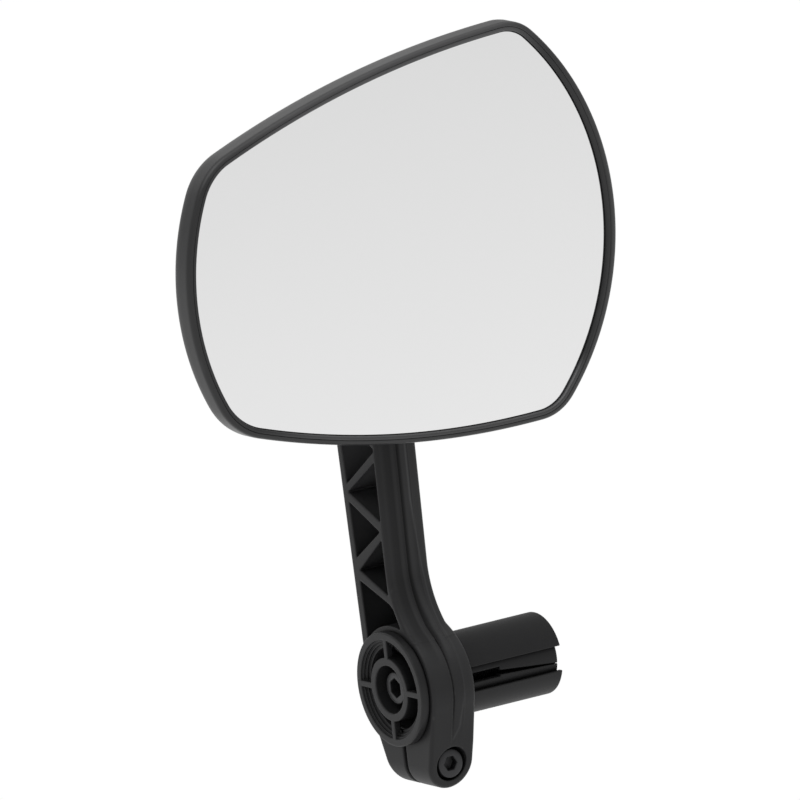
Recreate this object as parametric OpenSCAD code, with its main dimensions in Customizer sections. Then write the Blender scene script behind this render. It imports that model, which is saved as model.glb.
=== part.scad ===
// Bar-end mirror for a bicycle: spoked plug with expander, truss arm on a
// clamp ring, and an oval head on a spring-loaded ball joint.
// Origin: bar axis at the face that meets the bar's end. +X into the bar,
// +Z up the arm, the glass faces -Y. All sizes in millimetres.

/* [Head outline] */
// Radius of the wide side of the glass
side_in_r = 59.8; // [57:0.1:62]
// Radius of the narrow side of the glass
side_out_r = 56.4; // [54:0.1:59]
// Radius of the top edge of the glass
top_r = 239; // [235:1:243]
// Radius of the bottom edge of the glass
bottom_r = 216; // [213:1:219]
// Distance from the head centre to the wide side
half_w_in = 54.9; // [53:0.1:57]
// Distance from the head centre to the narrow side
half_w_out = 55.1; // [53:0.1:57]
// Distance from the head centre to the crest of the top edge
half_h_top = 43.8; // [42:0.1:46]
// Distance from the head centre to the crest of the bottom edge
half_h_bottom = 43.8; // [42:0.1:46]
// Corner radii: wide side top, narrow side top, narrow side bottom, wide side bottom
corner_r = [8.1, 12.7, 13.6, 9.7];
// Width of the lip of the tray round the glass
lip_w = 0.95; // [0.8:0.05:1.2]
// Distance from the glass edge to the outside of the housing
rim_w = 2.4; // [2.2:0.05:3]
// Sideways shift of the housing's outline from the glass centre
rim_dx = 0.35; // [0:0.05:0.6]
// Height shift of the housing's outline from the glass centre
rim_dz = -0.1; // [-0.3:0.05:0]
// Height of the housing's outline against the evenly grown one
rim_sz = 0.993; // [0.99:0.001:1]
// Depth of the straight side wall of the housing
wall_d = 4.8; // [4:0.1:6]
// Depth of the glass surface below the rim
glass_recess = 0.9; // [0.6:0.1:1.2]
// Thickness of the glass
glass_t = 2; // [1.6:0.1:2.2]

/* [Head position] */
// Distance of the glass surface from the bar axis
glass_y = 13; // [12.5:0.1:13.5]
// Sideways place of the head centre
head_x = -7.31; // [-9:0.01:-5]
// Height of the head centre over the bar axis
head_z = 101.8; // [100:0.1:105]

/* [Ball joint] */
// Radius of the ball
ball_r = 6; // [5.8:0.1:6.2]
// Sideways place of the ball centre
ball_x = -6.2; // [-7:0.1:-5.5]
// Place of the ball centre behind the bar axis
ball_y = 2; // [1.8:0.1:2.2]
// Height of the ball centre
ball_z = 101.5; // [100.5:0.1:102.5]
// Radius of the stud's neck
neck_r = 3; // [2.6:0.1:3.2]

/* [Arm] */
// Outboard face of the arm and the clamp ring
arm_front = -12; // [-12.2:0.1:-11.8]
// Bar-side face of the truss
arm_rear = -0.4; // [-0.8:0.1:-0.2]
// Outer radius of the clamp ring
ring_r = 14.2; // [13.8:0.1:14.6]
// Radius of the blend between the arm and the ring
blend_r = 20; // [16:1:24]
// Depth of the truss pockets
pocket_d = 8.6; // [6:0.1:9]
// Depth of the parting-line groove
groove_d = 0.8; // [0.4:0.1:1]
// Radius of the clamp lug round its bolt
lug_r = 5.7; // [5.4:0.1:5.9]
// Height of the pinch bolt under the bar axis
bolt_z = 17.5; // [17:0.1:18]
// Width of the gap that the pinch bolt closes
gap_w = 1.2; // [0.8:0.1:1.6]

/* [Plug] */
// Outer radius of the spoked flange
flange_r = 12.8; // [12.4:0.1:13.2]
// Thickness of the flange's rim
flange_t = 2.2; // [2:0.1:2.2]
// Radius of the journal that the clamp ring turns on
journal_r = 10.9; // [10.6:0.1:11.1]
// Outer radius of the adapter sleeve
sleeve_r = 9.45; // [9.2:0.05:9.7]
// Length of the plug inside the bar
plug_l = 26.6; // [26:0.1:30]
// Outer radius of the expander sleeve
expander_r = 8.2; // [8:0.05:8.3]
// Width of the opening of the adapter sleeve
opening_w = 5.7; // [4:0.1:7]

/* [Fasteners] */
// Radius of the expander screw's thread
screw_r = 2.5; // [2.5:0.5:2.5]
// Radius of the expander screw's head
screw_head_r = 3.65; // [3.6:0.05:4]
// Radius of the pinch bolt's thread
pinch_r = 2; // [2:0.5:2]
// Radius of the pinch bolt's head
pinch_head_r = 3.3; // [3.1:0.1:3.4]
// Running clearance on every radius that turns
run = 0.05; // [0.02:0.01:0.08]

/* [Hidden] */
$fn = 96;

black = [0.09, 0.09, 0.10];
soft_black = [0.14, 0.14, 0.15];
steel = [0.55, 0.56, 0.58];

eps = 0.01;       // overlap of joined shapes
past = 1;         // how far a cut runs past the face it opens
far = 20;         // end of a cut that is well clear of the part
fit = 0.05;       // gap round a part seated in another
hole_gap = 0.2;   // gap round a thread in a plain hole
washer_gap = 0.1; // gap round a thread in a washer
nut_gap = 0.1;    // extra width of a nut's pocket
washer_t = 0.8;
head_bevel = 0.3; // bevel on a screw head

// ---- helpers -------------------------------------------------------------
// Cylinder or cone along X; end_r is the radius at x_to
module along_x(radius, x_from, x_to, end_r = -1) {
    translate([x_from, 0, 0]) rotate([0, 90, 0])
        cylinder(r1 = radius, r2 = end_r < 0 ? radius : end_r, h = x_to - x_from);
}
module along_y(radius, y_from, y_to, end_r = -1) {
    translate([0, y_from, 0]) rotate([-90, 0, 0])
        cylinder(r1 = radius, r2 = end_r < 0 ? radius : end_r, h = y_to - y_from);
}
// Hexagonal bars, sized across the flats
function hex_r(flats) = flats / 2 * 2 / sqrt(3);
module hex_x(flats, x_from, x_to) {
    translate([x_from, 0, 0]) rotate([90, 0, 90])
        cylinder(r = hex_r(flats), h = x_to - x_from, $fn = 6);
}
module hex_y(flats, y_from, y_to) {
    translate([0, y_from, 0]) rotate([-90, 0, 0]) rotate([0, 0, 90])
        cylinder(r = hex_r(flats), h = y_to - y_from, $fn = 6);
}
module tube_y(outer_r, inner_r, y_from, y_to) {
    difference() {
        along_y(outer_r, y_from, y_to);
        along_y(inner_r, y_from - past, y_to + past);
    }
}
module nut_y(flats, inner_r, y_from, y_to) {
    difference() {
        hex_y(flats, y_from, y_to);
        along_y(inner_r, y_from - past, y_to + past);
    }
}
// Extrudes a (y, z) drawing along X
module slab_yz(x_from, x_to) {
    translate([x_from, 0, 0]) rotate([90, 0, 90]) linear_extrude(x_to - x_from) children();
}
// Extrudes an (x, z) drawing along Y
module slab_xz(y_from, y_to) {
    translate([0, y_to, 0]) rotate([90, 0, 0]) linear_extrude(y_to - y_from) children();
}
// Repeats the children at angles round the bar axis
module around_x(angles) {
    for (a = angles) rotate([a, 0, 0]) children();
}

// ---- plug: fixed in the bar ------------------------------------------------
flange_front = -14.3;
flange_back = flange_front + flange_t;
flange_edge = 0.6;   // size of the rounded front edge
edge_mid = 0.18;     // inset of the rounded edge's middle point
seat_x = -0.3;       // where the sleeves seat in the plug
spigot_r = 5.9;      // spigot inside the expander sleeve
spigot_l = 2.5;
hub_r = 7.3;
// Stepped pocket between hub and rim: [radius, from x, to x]
pocket_steps = [
    [11.4, flange_front - past, flange_front + 0.5],
    [10.9, flange_front, flange_front + 1.0],
    [10.3, flange_front, flange_front + 1.5],
    [9.5, flange_front, -4.5]];
spoke_w = 1.3;
spoke_d = 1.6;
notch = [1.2, 3.2, 2.3];
notch_z = 9;
floor_x = -7;        // floor of the screw well
well_r = 5.5;

module plug_body() color(black)
    difference() {
        union() {
            rotate([0, 90, 0]) rotate_extrude() polygon([
                [0, flange_front], [flange_r - flange_edge, flange_front],
                [flange_r - edge_mid, flange_front + edge_mid],
                [flange_r, flange_front + flange_edge], [flange_r, flange_back],
                [0, flange_back]]);
            along_x(journal_r, flange_back - eps, 0);
            along_x(spigot_r, -eps, spigot_l);
        }
        // pocket, leaving the hub and four spokes
        difference() {
            union() for (s = pocket_steps) along_x(s[0], s[1], s[2]);
            along_x(hub_r, flange_front - 2 * past, 0);
            around_x([0:90:270]) translate([flange_front, 0, -spoke_w / 2])
                cube([spoke_d, 12, spoke_w]);
        }
        // notches in the steps behind the upright spokes
        around_x([0, 180]) translate([flange_front + spoke_d, -notch[1] / 2, notch_z])
            cube(notch);
        // shallow recess for the sleeves in the face that meets the bar
        difference() {
            along_x(sleeve_r + run, seat_x, past);
            along_x(spigot_r, seat_x - past, 2 * past);
        }
        // screw well and screw hole
        along_x(well_r, flange_front - past, floor_x);
        along_x(screw_r + hole_gap, floor_x - past, 4);
    }

expander_bore_r = spigot_r + fit;
cone_x = 15;          // start of the flared bore
cone_end_r = 7.4;
// Outline of a slit, [x, sideways]; it narrows towards the inner end
slit = [[10, -0.1], [27, -1.4], [27, -0.95], [10, 1]];
cut_z = 5;            // the slits and windows run outwards from here
cut_h = 4;
window_x = 0.6;
window_l = 9.8;
window_w = 2;

module expander_sleeve() color(black)
    difference() {
        along_x(expander_r, seat_x, plug_l - 0.6);
        along_x(expander_bore_r, -past, cone_x);
        along_x(expander_bore_r, cone_x - eps, plug_l, cone_end_r);
        // slanting slits that let it spread
        around_x([0:90:270]) translate([0, 0, cut_z]) linear_extrude(cut_h) polygon(slit);
        // windows where the slits on the -Y and +Y sides start
        around_x([90, 270]) translate([window_x, -window_w / 2, cut_z])
            cube([window_l, window_w, cut_h]);
        // grooves for the wedge's keys
        around_x([45:90:315]) translate([15.4, -0.6, 4]) cube([12, 1.2, 3.6]);
    }

sleeve_bevel = 0.5;    // bevel at the inner end
sleeve_seat_step = 0.3; // the seated end is thinner by this

module adapter_sleeve() color(soft_black)
    difference() {
        union() {
            along_x(sleeve_r, 0, plug_l - sleeve_bevel);
            along_x(sleeve_r - sleeve_seat_step, seat_x, eps);
            along_x(sleeve_r, plug_l - sleeve_bevel - eps, plug_l, sleeve_r - sleeve_bevel);
        }
        along_x(expander_r + run, -past, plug_l + past);
        // opening towards -Y
        translate([-past, -12, -opening_w / 2]) cube([40, 12, opening_w]);
    }

screw_front = flange_front + 1.65;
screw_washer_r = 5.3;
screw_seat_x = floor_x - 1; // washer face under the screw head
screw_end = 26.2;           // shared by the screw, wedge and wedge nut
screw_socket = 4;           // across the flats
screw_socket_d = 3;

module screw_washer() color(steel)
    difference() {
        along_x(screw_washer_r, screw_seat_x, floor_x);
        along_x(screw_r + washer_gap, screw_seat_x - past, floor_x + past);
    }

module expander_screw() color(steel)
    difference() {
        union() {
            along_x(screw_head_r, screw_front + head_bevel, screw_seat_x);
            along_x(screw_head_r - head_bevel, screw_front,
                screw_front + head_bevel + eps, screw_head_r);
            along_x(screw_r, screw_seat_x - eps, screw_end);
        }
        hex_x(screw_socket, screw_front - past, screw_front + screw_socket_d);
    }

wedge_x = 15.6;
wedge_r = 5.62;
wedge_end_r = 7.1;
wedge_nut_x = 22.2;
wedge_nut_af = 8; // across the flats

module wedge() color(black)
    difference() {
        union() {
            along_x(wedge_r, wedge_x, screw_end, wedge_end_r);
            // keys that ride in the grooves of the expander sleeve
            around_x([45:90:315]) translate([16, -0.5, 4.5]) cube([8, 1, 3]);
        }
        along_x(screw_r + hole_gap, 10, 30);
        hex_x(wedge_nut_af + nut_gap, wedge_nut_x, 30);
    }

module wedge_nut() color(steel)
    difference() {
        hex_x(wedge_nut_af, wedge_nut_x, screw_end);
        along_x(screw_r + run, wedge_nut_x - past, screw_end + past);
    }

// ---- arm: turns round the journal ------------------------------------------
mid_x = arm_front / 2; // middle of the ring's width
groove_w = 0.8;
bar_side_inset = 0.4;  // the bar-side part is smaller by this all round
flat_y = -0.9;         // -Y face of the arm above the blend
arm_top_y = 9;         // -Y face of the arm's top
arm_back_y = 15.6;     // +Y face of the arm

// Centre of the blend arc, and where the arc touches the ring, as [y, z]
blend_c = [flat_y - blend_r,
    sqrt(pow(ring_r + blend_r, 2) - pow(blend_r - flat_y, 2))];
blend_touch = blend_c * (ring_r / (ring_r + blend_r));

// Truss pockets, as [y, z] outlines
truss_pockets = [
    [[0.2, 52], [12.3, 43.7], [0.1, 38.2]],
    [[0.05, 54.4], [0.05, 55.1], [13.6, 61.2], [12.4, 45.6]],
    [[0.8, 35.8], [12.3, 41.4], [11.5, 28.6]],
    [[0.5, 34], [10.8, 25.8], [0.1, 21.2]],
    [[2.4, 58.0], [13.6, 62.6], [4.9, 65.6]],
    [[13.9, 64.4], [5.8, 67.5], [13.9, 77]]];
// Lowest pocket, which the ring closes below
ring_pocket = [[-0.1, 19.2], [11.1, 23.3], [10.2, 8], [-6, 8], [-4, 13], [-1.4, 18.2]];

// Pinch bolt parts, placed along Y
counterbore_r = 3.9;
pinch_seat_y = -4.6;                    // floor of the counterbore
pinch_under_y = pinch_seat_y - washer_t; // underside of the head
pinch_front_y = -9.5;
pinch_end_y = 7.6;
pinch_washer_r = 3.8;
pinch_socket = 3;
pinch_socket_d = 2.1;
pinch_nut_y = 4.2;
pinch_nut_t = 3.2;
pinch_nut_af = 7;

// Ball stud parts, placed along Y
boss_r = 7.5;
stud_r = 3;
stud_hole_r = stud_r + washer_gap;
stud_seat_r = 5.4;
stud_seat_y = 12;
stud_nut_y = stud_seat_y + washer_t;

module at_pinch() {
    translate([mid_x, 0, -bolt_z]) children();
}
module at_ball() {
    translate([ball_x, 0, ball_z]) children();
}

// Side profile, with its outer edge drawn in by inset
module arm_profile(inset) {
    difference() {
        union() {
            circle(r = ring_r - inset);
            // lug under the ring
            polygon([[-13.5 + inset, -4.2], [-9.9 + inset, -bolt_z],
                [-8.3 + inset, -bolt_z - lug_r], [6.9 - inset, -bolt_z - lug_r],
                [8.4 - inset, -bolt_z], [13.5 - inset, -4.2], [0, 0]]);
            polygon([[0, 0], blend_touch, [flat_y + inset, blend_c[1]],
                [flat_y + inset, 56.5], [2.5, 62], [arm_top_y, 84],
                [arm_top_y, ball_z], [arm_back_y - inset, ball_z],
                [arm_back_y - inset, 68], [15.3 - inset, 54], [12.9 - inset, 6]]);
        }
        translate(blend_c) circle(r = blend_r + inset);
    }
}
module pockets() {
    for (p = truss_pockets) polygon(p);
    difference() {
        polygon(ring_pocket);
        circle(r = ring_r);
    }
}
// Layers of the arm from the outboard face to the bar
module arm_layers() {
    slab_yz(arm_front, mid_x - groove_w / 2) arm_profile(0);
    slab_yz(mid_x - groove_w / 2 - eps, mid_x + groove_w / 2) arm_profile(groove_d);
    slab_yz(mid_x + groove_w / 2 - eps, arm_rear) arm_profile(bar_side_inset);
    slab_yz(arm_rear - eps, 0) circle(r = ring_r - bar_side_inset);
}
module arm() color(black)
    difference() {
        union() {
            intersection() {
                arm_layers();
                // rounds the underside of the lug
                union() {
                    translate([-30, -30, -bolt_z]) cube([60, 80, 160]);
                    at_pinch() along_y(lug_r, -30, 30);
                }
            }
            // round boss that carries the ball stud
            at_ball() along_y(boss_r, arm_top_y, arm_back_y);
        }
        // bore for the journal, and the gap the bolt closes
        along_x(journal_r + run, -far, 5);
        translate([-far, -gap_w / 2, -30]) cube([30, gap_w, 30]);
        slab_yz(arm_front - past, arm_front + pocket_d) pockets();
        // pinch bolt: counterbore, hole and nut pocket
        at_pinch() {
            along_y(counterbore_r, -far, pinch_seat_y);
            along_y(pinch_r + hole_gap, -10, 10);
            hex_y(pinch_nut_af + nut_gap, pinch_nut_y, 12);
        }
        // ball stud: hole, and round seat for the washer and nut
        at_ball() {
            along_y(stud_hole_r, arm_top_y - past, far);
            along_y(stud_seat_r, stud_seat_y, far);
        }
    }

module pinch_bolt() color(steel)
    at_pinch() difference() {
        union() {
            along_y(pinch_head_r, pinch_front_y + head_bevel, pinch_under_y);
            along_y(pinch_head_r - head_bevel, pinch_front_y,
                pinch_front_y + head_bevel + eps, pinch_head_r);
            along_y(pinch_r, pinch_under_y - eps, pinch_end_y);
        }
        hex_y(pinch_socket, pinch_front_y - past, pinch_front_y + pinch_socket_d);
    }
module pinch_washer() color(steel)
    at_pinch() tube_y(pinch_washer_r, pinch_r + washer_gap, pinch_under_y, pinch_seat_y);
module pinch_nut() color(steel)
    at_pinch() nut_y(pinch_nut_af, pinch_r + run, pinch_nut_y, pinch_nut_y + pinch_nut_t);

// ---- ball joint -------------------------------------------------------------
pivot = [ball_x, ball_y, ball_z];
collar_r = 5;
collar_y = arm_top_y - 0.8;
stud_nut_af = 9;
stud_nut_r = 3.03;
cup_wall = 1.6;
cup_front = -5.2;       // -Y end of the pressure cup, from the pivot
plate_y = ball_y - 6.4; // where the clamp plate meets the socket
plate_r = 13.2;         // clamp plate and socket boss
plate_t = 1.2;
plate_front = plate_y - plate_t;
clamp_circle_r = 10.6;  // circle of the clamp screws
clamp_head_t = 1.5;

module ball_stud() color(steel)
    at_ball() {
        translate([0, ball_y, 0]) sphere(r = ball_r);
        along_y(neck_r, ball_y + 4, collar_y + 0.1);
        along_y(collar_r, collar_y, arm_top_y);
        along_y(stud_r, arm_top_y - eps, arm_back_y);
    }
module stud_washer() color(steel)
    at_ball() tube_y(5, stud_hole_r, stud_seat_y, stud_nut_y);
module stud_nut() color(steel)
    at_ball() nut_y(stud_nut_af, stud_nut_r, stud_nut_y, arm_back_y);

// Slice of the shell round the ball, between two places along Y from the pivot
module ball_shell(y_from, y_to) {
    translate(pivot) difference() {
        intersection() {
            sphere(r = ball_r + cup_wall);
            translate([-10, y_from, -10]) cube([20, y_to - y_from, 20]);
        }
        sphere(r = ball_r + run);
    }
}
module ball_seat() color("ivory") ball_shell(1.2, 4);
module pressure_cup() color("ivory") ball_shell(cup_front, -1.2);
module cup_spring() color(steel)
    at_ball() tube_y(5.4, 3.6, plate_y, ball_y + cup_front);

module screw_places() {
    for (a = [90:120:330])
        translate([ball_x + clamp_circle_r * cos(a), 0, ball_z + clamp_circle_r * sin(a)])
            children();
}
module clamp_plate() color(steel)
    difference() {
        at_ball() tube_y(plate_r, 2.6, plate_front, plate_y);
        screw_places() along_y(1.4, -far, 5);
    }
module clamp_screws() color(steel)
    screw_places() difference() {
        union() {
            along_y(2.3, plate_front - clamp_head_t, plate_front);
            along_y(1.15, plate_front - eps, plate_y + 5.5);
        }
        // round socket in the head
        along_y(0.9, plate_front - clamp_head_t - past, plate_front - 0.7);
    }

// ---- head outline: four large arcs with a fillet at each corner -------------
// Order: wide side, top, narrow side, bottom. Centres are [x, z] from the head centre
side_centre = [
    [half_w_in - side_in_r, -0.34],
    [41.8, half_h_top - top_r],
    [side_out_r - half_w_out, -1.68],
    [26.6, bottom_r - half_h_bottom]];
side_radius = [side_in_r, top_r, side_out_r, bottom_r];
// Rough place of each corner, in the order of corner_r
corner_hint = [[39, 42], [-46, 28], [-46, -30], [38, -42]];
rim_sx = 1.003; // width of the housing's outline against the evenly grown one

// Meeting point of two circles that lies nearer to the hint
function meet(centre_1, radius_1, centre_2, radius_2, hint) = let (
    dist = norm(centre_2 - centre_1),
    dir = (centre_2 - centre_1) / dist,
    reach = (radius_1 * radius_1 - radius_2 * radius_2 + dist * dist) / (2 * dist),
    foot = centre_1 + dir * reach,
    side = [-dir[1], dir[0]] * sqrt(max(radius_1 * radius_1 - reach * reach, 0)))
    norm(foot + side - hint) < norm(foot - side - hint) ? foot + side : foot - side;

// Centre of the fillet between side i and the next
function fillet_centre(i) = let (j = (i + 1) % 4)
    meet(side_centre[i], side_radius[i] - corner_r[i],
        side_centre[j], side_radius[j] - corner_r[i], corner_hint[i]);

// Points of an arc, from one direction to another, anticlockwise
function arc(centre, radius, dir_from, dir_to, steps) = let (
    start = atan2(dir_from[1], dir_from[0]),
    stop = atan2(dir_to[1], dir_to[0]),
    sweep = stop < start ? stop + 360 - start : stop - start)
    [for (k = [0:steps]) let (a = start + sweep * k / steps)
        centre + radius * [cos(a), sin(a)]];

// The glass outline grown outwards; the centres stay and every radius grows
module outline(grow, side_steps = 24, corner_steps = 10) {
    polygon([for (i = [0:3]) let (
        centre = side_centre[i],
        before = fillet_centre((i + 3) % 4),
        after = fillet_centre(i),
        next = side_centre[(i + 1) % 4],
        side = arc(centre, side_radius[i] + grow, before - centre, after - centre,
            side_steps),
        corner = arc(after, corner_r[i] + grow, after - centre, after - next,
            corner_steps))
        // the corner's end points already belong to the sides
        each concat(side, [for (k = [1:corner_steps - 1]) corner[k]])]);
}
module head_slab(grow, y_from, y_to) {
    translate([head_x, 0, head_z]) slab_xz(y_from, y_to) outline(grow);
}
// The housing's outline: a little lower and further inboard than the glass's
module rim_outline(grow, side_steps = 24, corner_steps = 10) {
    translate([rim_dx, rim_dz]) scale([rim_sx, rim_sz])
        outline(grow, side_steps, corner_steps);
}

// ---- head --------------------------------------------------------------------
layer_t = 0.02;      // thickness of one layer of the dome
rim_y = -glass_y - glass_recess;
wall_y = rim_y + wall_d;
tray_back = wall_y + 0.2;
glass_back = -glass_y + glass_t;
pad_back = glass_back + 0.8;
dome_t = 1.5;
socket_y = 0.5;      // where the socket boss starts to taper
socket_end = ball_y + 3.3;
socket_end_r = 10;
socket_r = ball_r + cup_wall + fit;

// One thin layer of the domed back
module dome_layer(grow, size, y) {
    translate([head_x, y, head_z]) rotate([90, 0, 0])
        linear_extrude(layer_t) scale([size, size]) rim_outline(grow, 10, 5);
}
// The domed back, drawn in by inset
module dome(inset) {
    hull() {
        dome_layer(rim_w - inset, 1, wall_y + layer_t);
        dome_layer(rim_w - inset, 0.94, wall_y + 3.6 - inset);
        dome_layer(rim_w - inset, 0.76, wall_y + 6.6 - inset);
        dome_layer(rim_w - inset, 0.5, wall_y + 8.4 - inset);
    }
}
module rear_housing() color(black)
    difference() {
        union() {
            difference() {
                union() {
                    translate([head_x, 0, head_z])
                        slab_xz(rim_y, wall_y + layer_t) rim_outline(rim_w);
                    dome(0);
                }
                head_slab(lip_w + fit, rim_y - past, tray_back + fit);
                dome(dome_t);
            }
            // socket boss
            at_ball() {
                along_y(plate_r, plate_y, socket_y);
                along_y(plate_r, socket_y - eps, socket_end, socket_end_r);
            }
        }
        at_ball() along_y(socket_r, -far, ball_y);
        translate(pivot) sphere(r = socket_r);
        screw_places() along_y(1.2, -far, plate_y + 6);
    }
// Opening over the joint, through the frame and the pad
module joint_opening() {
    at_ball() along_y(15, -far, 0);
}
module lens_frame() color(soft_black)
    difference() {
        head_slab(lip_w, rim_y, tray_back);
        head_slab(0, rim_y - past, pad_back);
        joint_opening();
    }
module lens_pad() color("dimgray")
    difference() {
        head_slab(-1.5, glass_back, pad_back);
        joint_opening();
    }
module mirror_lens() color([0.86, 0.88, 0.90])
    head_slab(-0.1, -glass_y, glass_back);

plug_body();
expander_sleeve();
adapter_sleeve();
screw_washer();
expander_screw();
wedge();
wedge_nut();
arm();
pinch_bolt();
pinch_washer();
pinch_nut();
ball_stud();
stud_washer();
stud_nut();
ball_seat();
pressure_cup();
cup_spring();
clamp_plate();
clamp_screws();
rear_housing();
lens_frame();
lens_pad();
mirror_lens();
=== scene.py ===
# A mirror head on a truss arm, whose split clamp ring sits round an expanding plug.
# The plug's axis is x, through the origin: its flange faces -x and its sleeve runs to +x.
# The arm rises along z from the clamp ring to a ball stud. The glass faces -y, and the
# ball joint lies on its +y side. Lengths are in millimetres up to the section "stage,
# lights and camera", which is in metres.
import functools
import itertools
import math
import bpy
import bmesh
import numpy as np
from mathutils import Vector, Matrix


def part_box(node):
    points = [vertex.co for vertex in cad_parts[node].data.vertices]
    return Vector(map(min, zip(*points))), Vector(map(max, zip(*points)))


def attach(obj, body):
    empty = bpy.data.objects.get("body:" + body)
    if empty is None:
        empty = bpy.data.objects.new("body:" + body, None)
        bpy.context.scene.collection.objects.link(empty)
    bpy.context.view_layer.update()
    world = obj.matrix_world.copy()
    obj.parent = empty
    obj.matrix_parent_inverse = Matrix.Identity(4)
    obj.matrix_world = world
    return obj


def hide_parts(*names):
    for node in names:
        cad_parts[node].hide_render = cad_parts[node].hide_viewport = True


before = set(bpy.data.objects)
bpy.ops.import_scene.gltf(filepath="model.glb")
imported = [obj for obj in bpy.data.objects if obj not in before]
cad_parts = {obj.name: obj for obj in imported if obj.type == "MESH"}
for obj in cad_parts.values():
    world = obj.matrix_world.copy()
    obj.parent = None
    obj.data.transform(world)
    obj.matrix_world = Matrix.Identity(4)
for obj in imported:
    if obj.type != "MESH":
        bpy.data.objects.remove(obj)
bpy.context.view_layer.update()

MM = 0.001
TAU = 2 * math.pi


# ---------------------------------------------------------------------------
# places and shared sizes
# ---------------------------------------------------------------------------
def frame_box(node):
    low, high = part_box(node)
    return np.array(low) * 1000, np.array(high) * 1000


LENS_LO, LENS_HI = frame_box("mirror_lens")
HOUSING_LO, HOUSING_HI = frame_box("rear_housing")
BALL_LO, BALL_HI = frame_box("ball_stud")
SLEEVE_LO, SLEEVE_HI = frame_box("adapter_sleeve")
PLUG_LO, _ = frame_box("plug_body")
BOLT_LO, BOLT_HI = frame_box("pinch_bolt")

# head: the outline's reach from its centre, and the depths of its parts
REACH_RIGHT, REACH_LEFT, REACH_Z = 54.9, 55.1, 43.8     # to +x, to -x, up and down
GLASS_GAP = 0.1                          # from the outline in to the glass
HEAD_X = LENS_LO[0] + REACH_LEFT - GLASS_GAP
HEAD_Z = (LENS_LO[2] + LENS_HI[2]) / 2
GLASS_Y = LENS_LO[1]
RIM_Y = HOUSING_LO[1]
WALL_Y = RIM_Y + 4.8                     # where the shell's side wall turns into its dome

# ball joint
BALL_R = 6.0
BALL_X = (BALL_LO[0] + BALL_HI[0]) / 2
BALL_Y = BALL_LO[1] + BALL_R
BALL_Z = (BALL_LO[2] + BALL_HI[2]) / 2
SOCKET_R = 7.65
CUP_Y = BALL_Y - 5.2                     # the pressure cup's face towards the glass
PLATE_Y0, PLATE_Y1 = BALL_Y - 7.6, BALL_Y - 6.4
PLATE_R = 13.2
PLATE_SCREW_R = 10.6                     # circle of the three plate screws
PLATE_SCREW_ANGLES = [math.radians(a) for a in (90, 210, 330)]

# arm, stud and pinch bolt
ARM_X0, ARM_X1 = -12.0, -0.4
BOSS_Y, ARM_Y1 = 9.0, 15.6               # the stud boss's two faces
STUD_SEAT_Y, STUD_NUT_Y = 12.0, 12.8
STUD_R = 3.0
BOLT_X = -6.0
BOLT_Z = (BOLT_LO[2] + BOLT_HI[2]) / 2
BOLT_HEAD_Y, BOLT_SEAT_Y, BOLT_NUT_Y = -5.4, -4.6, 4.2

# plug
PLUG_X = PLUG_LO[0]                      # front face of the flange
SLEEVE_X0, SLEEVE_X1 = SLEEVE_LO[0], SLEEVE_HI[0]
SCREW_X = PLUG_X + 1.65                  # front face of the screw's head
SCREW_HEAD_X, SCREW_SEAT_X = -8.0, -7.0
SCREW_HOLE_R = 2.7
WEDGE_X0, WEDGE_NUT_X, WEDGE_X1 = 15.6, 22.2, 26.2

# lines that parts are turned about: direction and a point on the line
PLUG_AXIS = ("x", (0, 0, 0))
BOLT_AXIS = ("y", (BOLT_X, 0, BOLT_Z))
STUD_AXIS = ("y", (BALL_X, 0, BALL_Z))


# ---------------------------------------------------------------------------
# ramps
# ---------------------------------------------------------------------------
def rise(value, start, span):
    """0 up to start, climbing to 1 over span."""
    return np.clip((value - start) / span, 0, 1)


def fall(value, end, span):
    """1 at first, dropping over span to 0 at end."""
    return np.clip((end - value) / span, 0, 1)


def bell(value, centre, width):
    return np.exp(-((value - centre) / width) ** 2)


def along(value, table):
    """Interpolate in a table of (position, result)."""
    return np.interp(value, *zip(*table))


# ---------------------------------------------------------------------------
# mesh helpers
# ---------------------------------------------------------------------------
def set_painted_light(mesh, painted_light):
    """Store the painted light and shade that the given function yields at (x, y, z), in mm, on
    the mesh's points for the material to read.
    """
    layer = mesh.attributes.new("painted_light", "FLOAT", "POINT")
    points = np.empty(len(mesh.vertices) * 3, np.float32)
    mesh.vertices.foreach_get("co", points)
    points = points.reshape(-1, 3).astype(float) / MM
    layer.data.foreach_set("value", painted_light(*points.T).astype(np.float32))


def add_piece(name, mesh, body, material, replaced, crease=None):
    """Shade a mesh smooth, with edges sharp above crease degrees, and put it on its body."""
    for polygon in mesh.polygons:
        polygon.use_smooth = True
    if crease:
        mesh.set_sharp_from_angle(angle=math.radians(crease))
    piece = bpy.data.objects.new(name, mesh)
    bpy.context.scene.collection.objects.link(piece)
    mesh.materials.append(MATERIALS[material])
    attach(piece, body)
    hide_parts(replaced)


def make(name, points, faces, body, material, replaced, crease, slot=None, painted_light=None):
    """A piece from points in millimetres."""
    mesh = bpy.data.meshes.new(name)
    mesh.from_pydata((np.asarray(points, float) * MM).tolist(), [], faces)
    mesh.validate()
    bm = bmesh.new()
    bm.from_mesh(mesh)
    bmesh.ops.remove_doubles(bm, verts=bm.verts, dist=1e-7)
    bmesh.ops.recalc_face_normals(bm, faces=bm.faces)
    bm.to_mesh(mesh)
    bm.free()
    add_piece(name, mesh, body, material, replaced, crease)
    if painted_light:
        set_painted_light(mesh, painted_light)


def grid_faces(rows, columns, closed):
    """Quads of a row-major grid whose rows are rings; closed joins the last row to the first."""
    faces = []
    for i in range(rows if closed else rows - 1):
        i2 = (i + 1) % rows
        for j in range(columns):
            j2 = (j + 1) % columns
            faces.append((i * columns + j, i * columns + j2, i2 * columns + j2, i2 * columns + j))
    return faces


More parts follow.
